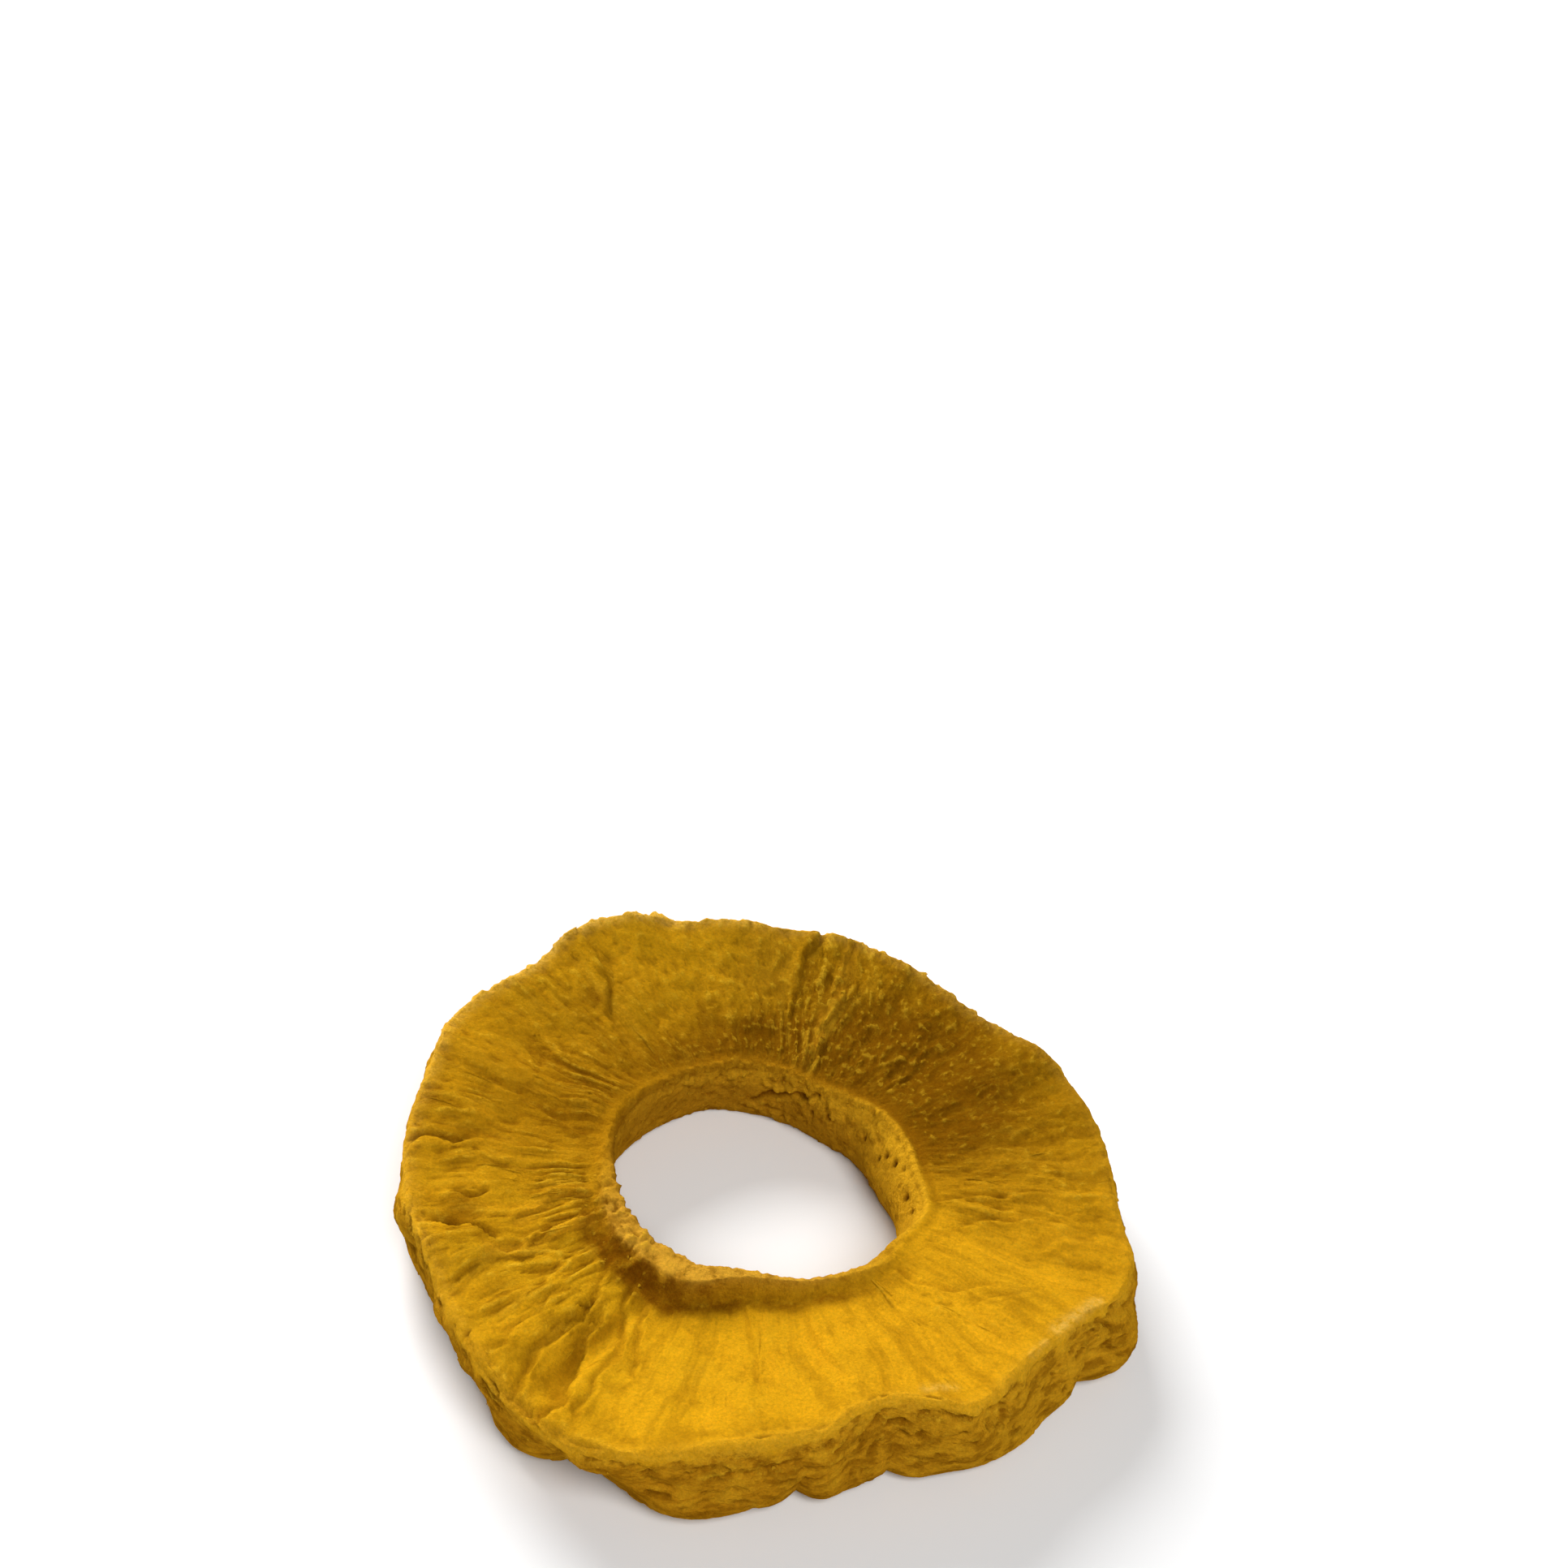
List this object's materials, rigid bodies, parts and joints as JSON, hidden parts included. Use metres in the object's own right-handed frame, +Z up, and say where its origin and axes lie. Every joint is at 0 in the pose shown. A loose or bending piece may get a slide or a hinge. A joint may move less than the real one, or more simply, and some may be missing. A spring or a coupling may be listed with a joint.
{
  "type": "pineapple ring",
  "caption": "Ring of freeze-dried pineapple with a cored hole, a raised collar round it, a bowl-shaped fibrous face and a lobed, craggy rim.",
  "frame": {"origin": "middle of the ring's footprint on the surface it lies on", "axes": "+Z up out of the bowl-shaped face; the hole runs along Z; -Y is the ring's front"},
  "size_m": [0.082, 0.0814, 0.0142],
  "materials": {
    "dry_flesh": "chalky, porous, matte"
  },
  "bodies": {
    "root": {"pineapple_ring": "dry_flesh"}
  },
  "joints": []
}
